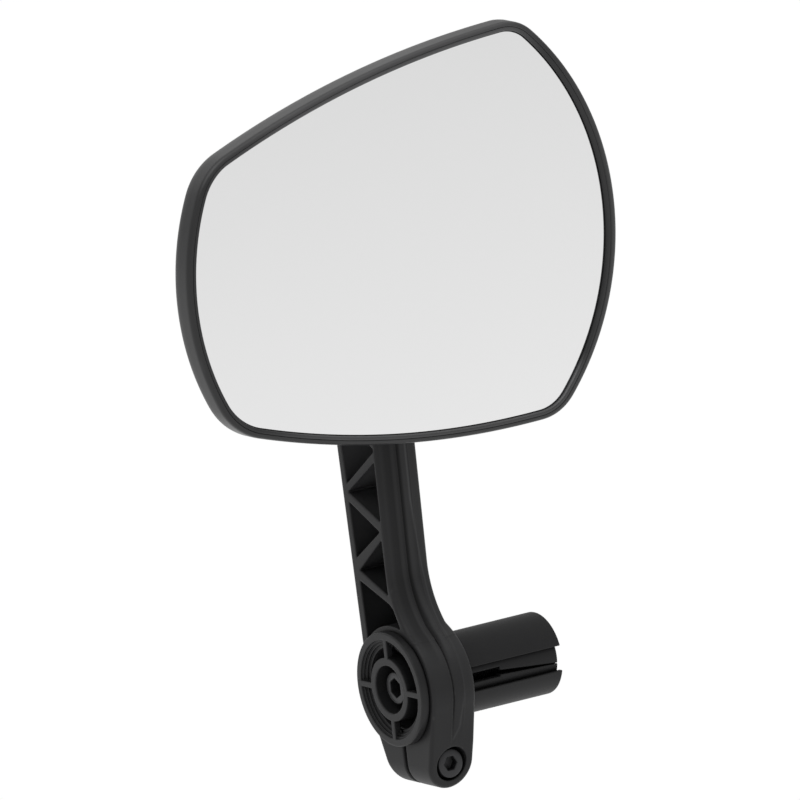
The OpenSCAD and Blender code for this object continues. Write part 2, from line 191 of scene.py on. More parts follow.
def hexagon(flats, turn=0.0, cap=math.inf):
    """Radius by angle of a hexagon across flats, with eased corners, held within cap."""
    def radius(angle):
        offset = (angle + turn) % (TAU / 6) - TAU / 12
        corner = flats / 2 / math.cos(math.pi / 6) * 0.98
        return np.minimum(np.minimum(flats / 2 / np.cos(offset), corner), cap)
    return radius


def lathe(axis, rows, count=96, closed=False):
    """Rows of (place along the axis, radius). The radius may be a function of the angle;
    radius 0 closes the end."""
    direction, origin = axis
    angle = np.arange(count) / count * TAU
    points, faces, rings, total = [], [], [], 0
    for place, radius in rows:
        if callable(radius):
            radius = radius(angle)
        elif radius == 0:
            points.append(np.array([[place, 0.0, 0.0]]))
            rings.append([total])
            total += 1
            continue
        points.append(np.stack([np.full(count, float(place)), radius * np.cos(angle),
                                radius * np.sin(angle)], 1))
        rings.append(range(total, total + count))
        total += count
    for i in range(len(rows) if closed else len(rows) - 1):
        a, b = rings[i], rings[(i + 1) % len(rows)]
        for j in range(count):
            k = (j + 1) % count
            if len(a) == 1:
                faces.append((a[0], b[k], b[j]))
            elif len(b) == 1:
                faces.append((a[j], a[k], b[0]))
            else:
                faces.append((a[j], a[k], b[k], b[j]))
    points = np.concatenate(points)
    if direction == "y":
        points = points[:, [1, 0, 2]]
    return points + np.asarray(origin, float), faces


# ---------------------------------------------------------------------------
# the outline of the head
# ---------------------------------------------------------------------------
# side radius, side centre (x, z), radius of the corner after it, a point near that
# corner's centre; counter-clockwise in (x, z) from the head's centre
SIDES = [
    (59.8, (REACH_RIGHT - 59.8, -0.34), 8.1, (39, 42)),     # +x side
    (239.0, (41.8, REACH_Z - 239.0), 12.7, (-46, 28)),      # top
    (56.4, (56.4 - REACH_LEFT, -1.68), 13.6, (-46, -30)),   # -x side
    (216.0, (26.6, 216.0 - REACH_Z), 9.7, (38, -42)),       # bottom
]
SIDE_STEP = 1.1                          # spacing of points along the sides
CORNER_STEPS = 16


def circle_meeting(a, radius_a, b, radius_b, hint):
    """The crossing of two circles that lies nearer to hint."""
    gap = np.linalg.norm(b - a)
    unit = (b - a) / gap
    reach = (radius_a * radius_a - radius_b * radius_b + gap * gap) / (2 * gap)
    height = math.sqrt(max(radius_a * radius_a - reach * reach, 0))
    normal = np.array([-unit[1], unit[0]])
    p, q = a + unit * reach + normal * height, a + unit * reach - normal * height
    return p if np.linalg.norm(p - hint) < np.linalg.norm(q - hint) else q


def head_outline():
    """Points and outward normals of four arcs joined by corner arcs."""
    radii, centres, corner_radii, hints = zip(*SIDES)
    centres = [np.array(c) for c in centres]
    corners = []
    for i in range(4):
        k = (i + 1) % 4
        corners.append(circle_meeting(centres[i], radii[i] - corner_radii[i], centres[k],
                                      radii[k] - corner_radii[i], np.array(hints[i])))
    points, normals = [], []
    for i in range(4):
        side, corner, following = centres[i], corners[i], centres[(i + 1) % 4]
        for centre, radius, first, last, steps in (
                (side, radii[i], corners[i - 1] - side, corner - side, None),
                (corner, corner_radii[i], corner - side, corner - following, CORNER_STEPS)):
            start, end = math.atan2(first[1], first[0]), math.atan2(last[1], last[0])
            if end < start:
                end += TAU
            steps = steps or max(10, int(radius * (end - start) / SIDE_STEP))
            for j in range(steps):
                angle = start + (end - start) * j / steps
                normal = np.array([math.cos(angle), math.sin(angle)])
                points.append(centre + radius * normal)
                normals.append(normal)
    return np.array(points), np.array(normals)


OUTLINE, OUTLINE_NORMALS = head_outline()
OUTLINE_COUNT = len(OUTLINE)
HEAD_CENTRE, BALL_CENTRE = np.array([HEAD_X, HEAD_Z]), np.array([BALL_X, BALL_Z])
_from_ball = OUTLINE + HEAD_CENTRE - BALL_CENTRE
BALL_RAYS = _from_ball / np.linalg.norm(_from_ball, axis=1)[:, None]
SHELL_SHIFT, SHELL_SCALE = np.array([0.35, -0.10]), np.array([1.003, 0.993])


def head_row(grow, depth, blend=0.0, radius=0.0):
    """The outline grown by grow at y = depth, blended to a circle round the ball. Beyond
    the tray's lip it passes over to the housing's own, slightly shifted outline."""
    shell = rise(grow, 1.0, 1.4)
    flat = OUTLINE + OUTLINE_NORMALS * grow
    flat = flat * (1 - shell) + (flat * SHELL_SCALE + SHELL_SHIFT) * shell + HEAD_CENTRE
    flat = flat * (1 - blend) + (BALL_CENTRE + BALL_RAYS * radius) * blend
    return np.stack([flat[:, 0], np.full(OUTLINE_COUNT, float(depth)), flat[:, 1]], 1)


def sweep(rows, closed=True):
    points = np.concatenate([head_row(*row) for row in rows])
    return points, grid_faces(len(rows), OUTLINE_COUNT, closed)


# ---------------------------------------------------------------------------
# signed distances (negative inside) and surface nets
# ---------------------------------------------------------------------------
def unite(a, b, ease):
    """Union with a join rounded by ease."""
    near = np.maximum(ease - np.abs(a - b), 0.0) / ease
    return np.minimum(a, b) - near * near * ease * 0.25


def intersect(a, b, ease):
    return -unite(-a, -b, ease)


def cut(shape, tool, ease):
    return -unite(-shape, tool, ease)


def overlap(*parts):
    """Intersection with sharp edges."""
    return functools.reduce(np.maximum, parts)


def slab(x, start, end):
    return np.abs(x - (start + end) / 2) - (end - start) / 2


def polygon(px, py, corners):
    nearest, outside = np.inf, False
    for i, a in enumerate(corners):
        b = corners[i - 1]
        ex, ey = b[0] - a[0], b[1] - a[1]
        wx, wy = px - a[0], py - a[1]
        t = np.clip((wx * ex + wy * ey) / (ex * ex + ey * ey), 0, 1)
        dx, dy = wx - ex * t, wy - ey * t
        nearest = np.minimum(nearest, dx * dx + dy * dy)
        above, below, left = py >= a[1], py < b[1], ex * wy > ey * wx
        outside = outside ^ ((above & below & left) | (~above & ~below & ~left))
    return np.where(outside, -1.0, 1.0) * np.sqrt(nearest)


def inset(corners, distance):
    """A convex polygon drawn in by distance."""
    corners = [np.array(c, float) for c in corners]
    area = sum(corners[i - 1][0] * c[1] - c[0] * corners[i - 1][1]
               for i, c in enumerate(corners))
    if area < 0:
        corners = corners[::-1]
    moved = []
    for i, b in enumerate(corners):
        a, c = corners[i - 1], corners[(i + 1) % len(corners)]
        u, v = (b - a) / np.linalg.norm(b - a), (c - b) / np.linalg.norm(c - b)
        nu, nv = np.array([-u[1], u[0]]), np.array([-v[1], v[0]])
        target = np.array([nu @ b + distance, nv @ b + distance])
        moved.append(tuple(np.linalg.solve(np.array([nu, nv]), target)))
    return moved


def rounded_polygon(px, py, corners, radius):
    return polygon(px, py, inset(corners, radius)) - radius


def hexagon_distance(x, y, half_flats):
    """A hexagonal prism with two of its flats facing along x."""
    x, y = np.abs(x), np.abs(y)
    return np.maximum(x, 0.5 * x + 0.8660254 * y) - half_flats


def cone(x, r, x0, x1, r0, r1):
    """A cone of radius r0 at x0 and r1 at x1."""
    radius = r0 + (r1 - r0) * rise(x, x0, x1 - x0)
    return (r - radius) * math.cos(math.atan2(r1 - r0, x1 - x0))


def pull_to_surface(distance, points, limit, rounds=4, probe=0.02):
    """Move points down the distance's gradient, by at most limit a round."""
    for _ in range(rounds):
        value = distance(*points.T)
        gradient = np.stack([(distance(*(points + step).T) - distance(*(points - step).T))
                             / (2 * probe) for step in np.eye(3) * probe], 1)
        square = np.maximum((gradient * gradient).sum(1), 0.05)
        move = -(value / square)[:, None] * gradient
        length = np.linalg.norm(move, axis=1)
        move *= np.minimum(1, limit / np.maximum(length, 1e-9))[:, None]
        points = points + move
    return points


def surface_net(distance, low, high, cell):
    """The zero surface of distance in a box as a quad mesh, one point to each crossed cell."""
    low, high = np.array(low, float), np.array(high, float)
    cell = np.array(cell, float) * np.ones(3)
    count = np.ceil((high - low) / cell).astype(int) + 1
    axes = [low[k] + cell[k] * np.arange(count[k]) for k in range(3)]
    field = np.empty(count, np.float32)
    y, z = axes[1][None, :, None], axes[2][None, None, :]
    batch = 24                           # layers worked out at a time, to spare memory
    for i in range(0, count[0], batch):
        x = axes[0][i:i + batch][:, None, None]
        field[i:i + batch] = np.broadcast_to(distance(x, y, z), (len(x), count[1], count[2]))
    inside = field < 0

    corners = list(itertools.product((0, 1), repeat=3))
    filled = np.zeros(count - 1, np.uint8)
    for corner in corners:
        filled += inside[tuple(slice(o, c - 1 + o) for o, c in zip(corner, count))]
    crossed = (filled > 0) & (filled < 8)
    cells = np.argwhere(crossed)
    index = np.full(crossed.shape, -1, np.int64)
    index[crossed] = np.arange(len(cells))

    # each cell's point starts at the mean of the crossings on its edges
    total, hits = np.zeros((len(cells), 3)), np.zeros(len(cells))
    for start in corners:
        for k in range(3):
            if start[k] == 1:
                continue
            end = list(start)
            end[k] = 1
            a = field[tuple((cells + start).T)].astype(float)
            b = field[tuple((cells + end).T)].astype(float)
            changes = (a < 0) != (b < 0)
            place = np.array(start, float)[None, :] + np.zeros((len(cells), 3))
            place[:, k] += np.where(changes, a / np.where(changes, a - b, 1), 0)
            total[changes] += place[changes]
            hits[changes] += 1
    points = low + cell * (cells + total / hits[:, None])
    points = pull_to_surface(distance, points, 0.35 * cell.min())

    # one quad round every grid edge that crosses the surface
    faces = []
    for k in range(3):
        u, v = (k + 1) % 3, (k + 2) % 3
        near, far = [slice(None)] * 3, [slice(None)] * 3
        near[k], far[k] = slice(0, -1), slice(1, None)
        edges = np.argwhere(inside[tuple(near)] != inside[tuple(far)])
        edges = edges[(edges[:, u] > 0) & (edges[:, v] > 0)
                      & (edges[:, u] < count[u] - 1) & (edges[:, v] < count[v] - 1)]
        quad = []
        for du, dv in ((-1, -1), (0, -1), (0, 0), (-1, 0)):
            around = edges.copy()
            around[:, u] += du
            around[:, v] += dv
            quad.append(index[tuple(around.T)])
        quad = np.stack(quad, 1)
        faces.append(np.where(inside[tuple(edges.T)][:, None], quad, quad[:, ::-1]))
    return points, np.concatenate(faces)


def make_net(name, distance, low, high, cell, body, material, replaced, painted_light=None):
    """A piece from a signed distance in millimetres."""
    points, faces = surface_net(distance, low, high, cell)
    mesh = bpy.data.meshes.new(name)
    mesh.vertices.add(len(points))
    mesh.vertices.foreach_set("co", (points * MM).astype(np.float32).ravel())
    mesh.loops.add(len(faces) * 4)
    mesh.loops.foreach_set("vertex_index", faces.astype(np.int32).ravel())
    mesh.polygons.add(len(faces))
    mesh.polygons.foreach_set("loop_start", np.arange(0, len(faces) * 4, 4, dtype=np.int32))
    mesh.polygons.foreach_set("loop_total", np.full(len(faces), 4, np.int32))
    mesh.update(calc_edges=True)
    mesh.validate()
    if painted_light:
        set_painted_light(mesh, painted_light)
    add_piece(name, mesh, body, material, replaced)


# ---------------------------------------------------------------------------
# material helpers
# ---------------------------------------------------------------------------
def feed(tree, node, inputs):
    """Set a node's inputs: a socket is linked, anything else is a value."""
    for key, value in inputs.items():
        if isinstance(value, bpy.types.NodeSocket):
            tree.links.new(value, node.inputs[key])
        else:
            node.inputs[key].default_value = value


def add_node(tree, kind, inputs={}, **settings):
    node = tree.nodes.new("ShaderNode" + kind)
    for key, value in settings.items():
        setattr(node, key, value)
    feed(tree, node, inputs)
    return node


def noise(tree, coords, scale, detail):
    inputs = {"Scale": scale, "Detail": detail, "Vector": coords}
    return add_node(tree, "TexNoise", inputs).outputs["Fac"]


def remap(tree, value, target, source=(0.0, 1.0)):
    """Map value from the source range to the target range."""
    return add_node(tree, "MapRange", {
        "From Min": source[0], "From Max": source[1],
        "To Min": target[0], "To Max": target[1], "Value": value}).outputs["Result"]


def maths(tree, operation, a, b):
    return add_node(tree, "Math", {0: a, 1: b}, operation=operation).outputs["Value"]


def scale_colour(tree, colour, factor):
    inputs = {0: colour, "Scale": factor}
    return add_node(tree, "VectorMath", inputs, operation="SCALE").outputs["Vector"]


def new_material(name):
    """A material, its node tree, its Principled node and its object coordinates."""
    material = bpy.data.materials.new(name)
    material.use_nodes = True
    tree = material.node_tree
    coords = add_node(tree, "TexCoord").outputs["Object"]
    return material, tree, tree.nodes["Principled BSDF"], coords


def colour_with_painted_shade(tree, surface, colour, reach, groove, has_painted_light):
    """Base colour and specular, darkened by painted shade to groove in corners narrower than
    reach (mm) and, if asked, multiplied by the painted light and shade stored on the mesh's
    points."""
    occlusion = add_node(tree, "AmbientOcclusion", {"Distance": reach * MM}, samples=6)
    shade = remap(tree, occlusion.outputs["AO"], (groove, 1.0), source=(0.35, 0.9))
    if has_painted_light:
        painted_light = add_node(tree, "Attribute", attribute_name="painted_light").outputs["Fac"]
        shade = maths(tree, "MULTIPLY", painted_light, shade)
    specular = surface.inputs["Specular IOR Level"].default_value
    feed(tree, surface, {
        "Base Color": scale_colour(tree, colour, shade),
        "Specular IOR Level": maths(tree, "MULTIPLY", shade, specular)})


def add_bump(tree, surface, height, strength, distance):
    bump = add_node(tree, "Bump", {"Strength": strength, "Distance": distance,
                                   "Height": height})
    feed(tree, surface, {"Normal": bump.outputs["Normal"]})


def plastic(name, colour, rough, specular=0.5, grain=0.35, grain_mm=0.22, fleck=0.12,
            edge_wear_and_highlight=0.25, groove=0.3, has_painted_light=False):
    """Moulded plastic: fine grain, slow variation of colour by fleck and of gloss, convex edges
    paler by wear and by a painted highlight, painted shade in grooves and narrow corners."""
    material, tree, surface, coords = new_material(name)
    feed(tree, surface, {"Specular IOR Level": specular})
    slow = noise(tree, coords, scale=55.0, detail=3.0)
    fine = noise(tree, coords, scale=1000.0 / grain_mm * 0.5, detail=2.0)
    cells = add_node(tree, "TexVoronoi", {"Scale": 1000.0 / grain_mm * 0.7,
                                          "Vector": coords}).outputs["Distance"]
    tint = remap(tree, slow, (1.0 - fleck, 1.0 + fleck), source=(0.3, 0.7))
    # convex edges painted paler: partly edge wear, partly a painted highlight along ridges
    pointiness = add_node(tree, "NewGeometry").outputs["Pointiness"]
    edge = remap(tree, pointiness, (0.0, edge_wear_and_highlight), source=(0.52, 0.62))
    worn_and_highlit = add_node(tree, "Mix", {
        "Factor": edge, "A": scale_colour(tree, colour, tint),
        "B": (*(c * 2.2 for c in colour), 1)}, data_type="RGBA").outputs["Result"]
    colour_with_painted_shade(tree, surface, worn_and_highlit, reach=1.3, groove=groove, has_painted_light=has_painted_light)
    feed(tree, surface, {"Roughness": remap(tree, slow, (rough - 0.05, rough + 0.06))})
    add_bump(tree, surface, maths(tree, "ADD", fine, cells), strength=grain, distance=0.00002)
    return material


def metal(name, colour, rough, streak, metallic=1.0, has_painted_light=False):
    """Steel with variation of colour by streak, and of gloss; painted shade in narrow corners
    and, if asked, painted light and shade from the mesh's points.
    """
    material, tree, surface, coords = new_material(name)
    feed(tree, surface, {"Metallic": metallic})
    mapping = add_node(tree, "Mapping", {"Vector": coords})
    grain = noise(tree, mapping.outputs["Vector"], scale=400.0, detail=4.0)
    streaked = scale_colour(tree, colour, remap(tree, grain, (1.0 - streak, 1.0 + streak)))
    colour_with_painted_shade(tree, surface, streaked, reach=1.5, groove=0.35, has_painted_light=has_painted_light)
    gloss = remap(tree, grain, (max(0.03, rough - 0.08), rough + 0.1))
    feed(tree, surface, {"Roughness": gloss})
    add_bump(tree, surface, grain, strength=0.15, distance=0.00001)
    return material


def mirror_glass(name):
    """Silvered glass: a bright reflection with faint haze, its colour painted darker towards the
    top as a painted reflection of darker light there.
    """
    material, tree, surface, coords = new_material(name)
    haze = noise(tree, coords, scale=18.0, detail=5.0)
    height = add_node(tree, "SeparateXYZ", {"Vector": coords}).outputs["Z"]
    # painted shade: the reflection is painted darker towards the top
    gradient = remap(tree, height, (0.835, 0.742),
                     source=((HEAD_Z - 44) * MM, (HEAD_Z + 44) * MM))
    level = maths(tree, "MULTIPLY", gradient, remap(tree, haze, (0.994, 1.006)))
    colour = add_node(tree, "CombineColor", {"Red": level, "Green": level, "Blue": level})
    feed(tree, surface, {"Metallic": 1.0, "Base Color": colour.outputs["Color"],
                         "Roughness": remap(tree, haze, (0.03, 0.05))})
    return material


# ---------------------------------------------------------------------------
# materials
# ---------------------------------------------------------------------------
# groove: the level to which painted shade darkens narrow corners
PLASTICS = {
    "arm_plastic": dict(colour=(0.0205, 0.0205, 0.0212), rough=0.44, specular=0.17,
                        edge_wear_and_highlight=0.35, groove=0.55, has_painted_light=True),
    "plug_plastic": dict(colour=(0.0180, 0.0180, 0.0186), rough=0.42, specular=0.2,
                         groove=0.45, has_painted_light=True),
    "housing_plastic": dict(colour=(0.0185, 0.0185, 0.0192), rough=0.34, specular=0.38,
                            groove=0.85, has_painted_light=True),
    "frame_plastic": dict(colour=(0.0195, 0.0195, 0.0202), rough=0.42, specular=0.36,
                          groove=0.8, has_painted_light=True),
    "sleeve_plastic": dict(colour=(0.0180, 0.0180, 0.0186), rough=0.48, specular=0.16,
                           grain=0.45),
    "expander_plastic": dict(colour=(0.0140, 0.0140, 0.0146), rough=0.48, specular=0.18),
    "seat_nylon": dict(colour=(0.72, 0.69, 0.60), rough=0.38, grain=0.2, fleck=0.04, edge_wear_and_highlight=0.0),
    "foam_pad": dict(colour=(0.05, 0.05, 0.05), rough=0.9, grain=1.0, grain_mm=0.5,
                     fleck=0.3, edge_wear_and_highlight=0.0),
}
METALS = {
    "black_steel": dict(colour=(0.020, 0.020, 0.022), rough=0.40, metallic=0.25, streak=0.25),
    "screw_steel": dict(colour=(0.037, 0.037, 0.039), rough=0.40, metallic=0.25, streak=0.2,
                        has_painted_light=True),
    "zinc_steel": dict(colour=(0.62, 0.63, 0.65), rough=0.34, streak=0.12),
    "bright_steel": dict(colour=(0.72, 0.73, 0.75), rough=0.14, streak=0.06),
    "spring_steel": dict(colour=(0.42, 0.42, 0.44), rough=0.3, streak=0.1),
}
MATERIALS = {name: plastic(name, **settings) for name, settings in PLASTICS.items()}
for name, settings in METALS.items():
    MATERIALS[name] = metal(name, **settings)
MATERIALS["mirror_glass"] = mirror_glass("mirror_glass")


# ---------------------------------------------------------------------------
# head
# ---------------------------------------------------------------------------
# growth of the outline, depth behind the rim's foremost face
TRAY_LIP = [
    (0.0, 0.72), (0.01, 0.55), (0.05, 0.36), (0.12, 0.20), (0.22, 0.09), (0.34, 0.03),
    (0.50, 0.01), (0.80, 0.01), (0.90, 0.03), (0.95, 0.09), (0.965, 0.2),
]
SHELL_GROWTH = 2.40
SHELL_BAND = [
    (0.99, 0.4), (0.99, 0.22), (1.0, 0.11), (1.05, 0.04), (1.14, 0.0), (1.35, 0.08),
    (1.60, 0.18), (1.82, 0.29), (2.00, 0.41), (2.14, 0.56), (2.26, 0.75), (2.34, 0.96),
    (2.385, 1.18), (SHELL_GROWTH, 1.45), (SHELL_GROWTH, 1.9), (SHELL_GROWTH, 2.6),
    (SHELL_GROWTH, 3.6),
]
# how far each dome row has passed from the outline to the circle round the ball
DOME_BLENDS = [
    0.002, 0.006, 0.012, 0.02, 0.03, 0.042, 0.056, 0.074, 0.095, 0.12, 0.15, 0.185, 0.225,
    0.27, 0.32, 0.38, 0.44, 0.51, 0.58, 0.66, 0.74, 0.82, 0.90, 0.96, 1.0,
]
DOME_Y = -0.7                            # the shell's back, without the socket boss
# depth below the boss's back face, radius
BOSS_CROWN = [(1.7, 11.1), (0.9, 10.5), (0.42, 10.2), (0.14, 9.8), (0, 9.2), (0, 7.7),
              (0.10, 7.2), (0.35, 6.98)]


def build_lens():
    # growth of the outline, depth behind the glass's front face
    edge = [(-GLASS_GAP, 0.22), (-0.14, 0.08), (-0.24, 0.01), (-0.34, 0)]
    rows = [(-GLASS_GAP, LENS_HI[1])] + [(grow, GLASS_Y + depth) for grow, depth in edge]
    points, faces = sweep(rows, closed=False)
    faces.append(tuple(range(OUTLINE_COUNT)))
    faces.append(tuple(range((len(rows) - 1) * OUTLINE_COUNT, len(rows) * OUTLINE_COUNT)))
    make("mirror_glass", points, faces, "head", "mirror_glass", "mirror_lens", crease=20)


def head_painted_light(x, y, z):
    """Painted light: the front face of the rim is painted paler along the head's upper edge."""
    edge = rise(z - HEAD_Z, 24, 12) * fall(x, HEAD_X + 43, 8)
    return 1 + 0.95 * edge * fall(y, RIM_Y + 1.1, 0.5)


def tray_painted_light(x, y, z):
    """Painted light: the tray's lip is also painted paler along the head's lower edge, where
    light comes up from the floor, most of all on its wall beside the glass, which lies in shade."""
    low = fall(z, HEAD_Z - 33, 4) * fall(y, RIM_Y + 1.1, 0.3)
    return head_painted_light(x, y, z) * (1 + low * (0.65 + 0.9 * rise(y - RIM_Y, 0.04, 0.05)))


def build_tray():
    back, floor, hole_radius = -8.9, GLASS_Y + 2.8, 15.0
    rows = [(0.0, floor)] + [(grow, RIM_Y + depth) for grow, depth in TRAY_LIP]
    rows += [(0.965, back - 0.2), (0.75, back), (0.35, back)]
    rows += [(0.0, back, blend, hole_radius) for blend in (0.3, 0.7, 1)]
    rows += [(0.0, floor, blend, hole_radius) for blend in (1, 0.7, 0.3)]
    rows += [(-0.3, floor)]
    make("lens_tray", *sweep(rows), "head", "frame_plastic", "lens_frame", crease=35,
         painted_light=tray_painted_light)


def dome_depth(blend):
    """y of the dome: an elliptical shoulder, then flat towards the socket."""
    v = min(blend / 0.78, 1.0)
    return WALL_Y + (DOME_Y - WALL_Y) * math.sqrt(max(0.0, 1 - (1 - v) ** 2.0))


def circle_row(depth, radius):
    return (0, depth, 1.0, radius)


def build_housing():
    boss_y = HOUSING_HI[1]
    fillet, fillet_radius, bore_radius = 2.6, 16.2, 14.0
    # inner wall, front band and side wall
    rows = [(0.99, WALL_Y + 0.4)]
    rows += [(grow, RIM_Y + depth) for grow, depth in SHELL_BAND]
    rows += [(SHELL_GROWTH, WALL_Y - 0.05)]
    # dome, fillet and boss
    rows += [(SHELL_GROWTH, dome_depth(blend), blend, fillet_radius) for blend in DOME_BLENDS]
    for degrees in range(15, 91, 15):
        t = math.radians(degrees)
        rows.append(circle_row(DOME_Y + fillet - fillet * math.cos(t),
                               fillet_radius - fillet * math.sin(t) - 0.35 * degrees / 90))
    rows += [circle_row(boss_y - depth, radius) for depth, radius in BOSS_CROWN]
    # spherical socket, then the bore towards the glass
    start = math.asin((boss_y - 0.5 - BALL_Y) / SOCKET_R)
    for k in range(7):
        angle = start * (1 - k / 6)
        rows.append(circle_row(BALL_Y + SOCKET_R * math.sin(angle),
                               SOCKET_R * math.cos(angle)))
    rows += [circle_row(PLATE_Y1 + 0.3, SOCKET_R), circle_row(PLATE_Y1, 7.9),
             circle_row(PLATE_Y1, 12.9), circle_row(PLATE_Y1 + 0.3, PLATE_R),
             circle_row(DOME_Y - 1.5 - 0.8, PLATE_R), circle_row(DOME_Y - 1.5, bore_radius)]
    # inside of the dome
    for blend in reversed(DOME_BLENDS[:-1]):
        depth = max(dome_depth(blend) - 1.6 - 0.3 * (1 - blend), WALL_Y + 0.45 + 0.2 * blend)
        rows.append((1.0, depth, blend, bore_radius))
    make("back_shell", *sweep(rows), "head", "housing_plastic", "rear_housing", crease=35,
         painted_light=head_painted_light)


build_lens()
build_tray()
build_housing()


# ---------------------------------------------------------------------------
# arm
# ---------------------------------------------------------------------------
RING_R = 14.2                            # outside of the clamp ring
BORE_R = 10.95
FLAT_Y = -0.9                            # the truss's -y side above the ring
POCKET_DEPTH = 8.6                       # from the arm's -x face
# hollow arc that joins the ring to the truss's flat side, tangent to both
BLEND_R = 20.0
BLEND_Y = FLAT_Y - BLEND_R
BLEND_Z = math.sqrt((RING_R + BLEND_R) ** 2 - BLEND_Y ** 2)

# outlines in (y, z)
TRUSS = [
    (0, 0), (BLEND_Y * RING_R / (RING_R + BLEND_R), BLEND_Z * RING_R / (RING_R + BLEND_R)),
    (FLAT_Y, BLEND_Z), (FLAT_Y, 56.5), (2.5, 62), (BOSS_Y, 84), (BOSS_Y, BALL_Z),
    (ARM_Y1, BALL_Z), (ARM_Y1, 68), (15.3, 54), (12.9, 6),
]
LUG = [(-13.68, -3.79), (-9.9, BOLT_Z), (-7.97, BOLT_Z - 7), (5.9, BOLT_Z - 7),
       (8.4, BOLT_Z), (13.22, -5.18), (0, 0)]
POCKETS = [
    [(0.2, 52), (12.3, 43.7), (0.1, 38.2)],
    [(0.05, 54.4), (0.05, 55.1), (13.6, 61.2), (12.4, 45.6)],
    [(0.8, 35.8), (12.3, 41.4), (11.5, 28.6)],
    [(0.5, 34), (10.8, 25.8), (0.1, 21.2)],
    [(2.4, 58.0), (13.6, 62.6), (4.9, 65.6)],
    [(13.9, 64.4), (5.8, 67.5), (13.9, 77)],
]
LOWEST_POCKET = [(-0.1, 19.2), (11.1, 23.3), (10.2, 8), (-6, 8), (-4, 13), (-1.4, 18.2)]

# x, growth of the outer sides: crown, parting-line groove, ridge and rear slope
TRUSS_GROWTH = [
    (-12.6, -0.10), (-12.0, 0.00), (-11.0, 0.05), (-9.5, 0.02), (-8.0, -0.06), (-7.2, 0.00),
    (-6.80, 0.12), (-6.60, 0.10), (-6.50, -0.10), (-6.35, -0.52), (-6.05, -0.60),
    (-5.75, -0.52), (-5.5, -0.38), (-5.1, -0.28), (-3.75, -0.02), (-3.50, 0.07),
    (-3.30, -0.02), (-2.0, -0.38), (-0.4, -0.85), (0.5, -1.1),
]
CLAMP_GROWTH = [
    (-12.6, 0.0), (-12.0, 0.0), (-7.2, 0.0), (-6.70, 0.06), (-6.52, 0.03), (-6.42, -0.42),
    (-6.10, -0.44), (-5.98, -0.16), (-5.2, -0.08), (-3.75, -0.02), (-3.50, 0.05),
    (-3.30, -0.04), (-1.6, -0.28), (-0.4, -0.5), (0.5, -0.6),
]


def truss_outline(y, z):
    return np.maximum(polygon(y, z, TRUSS), BLEND_R - np.hypot(y - BLEND_Y, z - BLEND_Z))


def clamp_outline(y, z):
    """Ring and lug."""
    return np.minimum(np.hypot(y, z) - RING_R, polygon(y, z, LUG))


def arm_distance(x, y, z):
    truss = intersect(truss_outline(y, z) - along(x, TRUSS_GROWTH),
                      slab(x, ARM_X0, ARM_X1), 1.0)
    # the lug's lower end is rounded about the bolt's line at BOLT_X, BOLT_Z
    clamp = clamp_outline(y, z) - along(x, CLAMP_GROWTH) * rise(z, -13.0, 9.0)
    barrel = (np.hypot(x - BOLT_X, np.minimum(z - BOLT_Z, 0.0)) - 5.85
              - 0.15 * rise(z, BOLT_Z, 12.0))
    arm = unite(truss, intersect(clamp, barrel, 0.9), 0.8)
    # boss for the ball stud
    stud_r = np.hypot(x - BALL_X, z - BALL_Z)
    arm = unite(arm, intersect(stud_r - 7.5, slab(y, BOSS_Y, ARM_Y1), 0.9), 2.0)
    # truss pockets
    lowest = intersect(polygon(y, z, LOWEST_POCKET), RING_R - np.hypot(y, z), 0.5)
    pockets = functools.reduce(
        np.minimum, [rounded_polygon(y, z, corners, 0.2) for corners in POCKETS] + [lowest])
    arm = cut(arm, intersect(pockets, x - (ARM_X0 + POCKET_DEPTH), 0.8), 0.24)
    # bore and the ring's gap below it
    arm = cut(arm, np.hypot(y, z) - BORE_R, 0.25)
    arm = cut(arm, np.maximum(slab(y, -0.6, 0.6), z), 0.3)
    # pinch bolt: head recess, hole and nut recess
    bolt_r = np.hypot(x - BOLT_X, z - BOLT_Z)
    arm = cut(arm, np.maximum(bolt_r - 3.98, y - BOLT_SEAT_Y), 0.24)
    arm = cut(arm, np.maximum(bolt_r - 2.2, np.abs(y) - 12), 0.15)
    nut = hexagon_distance(x - BOLT_X, z - BOLT_Z, 3.56)
    arm = cut(arm, np.maximum(nut, BOLT_NUT_Y - y), 0.25)
    # stud hole and nut recess
    arm = cut(arm, stud_r - 3.1, 0.2)
    return cut(arm, np.maximum(stud_r - 5.4, STUD_SEAT_Y - y), 0.3)


# painted light and shade on the arm's skin; first column z, unless said otherwise
GROOVE_X = [(0, -5.95), (7, -6.1), (15, -5.75), (24, -6.15), (33, -6.2)]
GROOVE_PAINTED_SHADE_WIDTH = [(4, 0.3), (8, 0.5), (15, 1.0), (24, 0.68), (33, 0.55)]
RIDGE_X = [(-11.7, -6.0), (-9, -4.4), (-5.2, -3.95), (0, -3.3), (15, -2.6), (23.6, -2.4),
           (33, -3.45), (42, -4.0)]
RIDGE_PAINTED_HIGHLIGHT = [(-12, 0), (-11.5, 0.45), (-4, 0.45), (0, 0.12), (8, 0.12), (15, 0.35),
              (24, 0.45), (33, 0.4), (42, 1.1)]
FRONT_PAINTED_LIGHT_AND_SHADE = [(-10.6, 1), (-9.7, 0.78), (-8.3, 0.72), (-7.8, 1.08), (-7.4, 1.08),
              (-7.1, 1.0)]                                                # by x
BEHIND_GROOVE_PAINTED_LIGHT = [(0.5, 1.0), (1.1, 1.35), (1.7, 1.3), (2.6, 1.0)]    # by x from groove
NECK_PAINTED_LIGHT = [(1, 1), (5, 1.25), (9, 1.45), (16, 1.3), (24, 1.0)]
POCKET_PAINTED_LIGHT = [(22, 1.3), (30, 1.7), (39.5, 2.3), (46, 2.8), (54, 3.8)]
POCKET_DEPTH_PAINTED_LIGHT = [(-12, 0.5), (-11, 0.6), (-8.5, 0.95), (-6, 1.25), (-3.4, 1.5)]    # by x


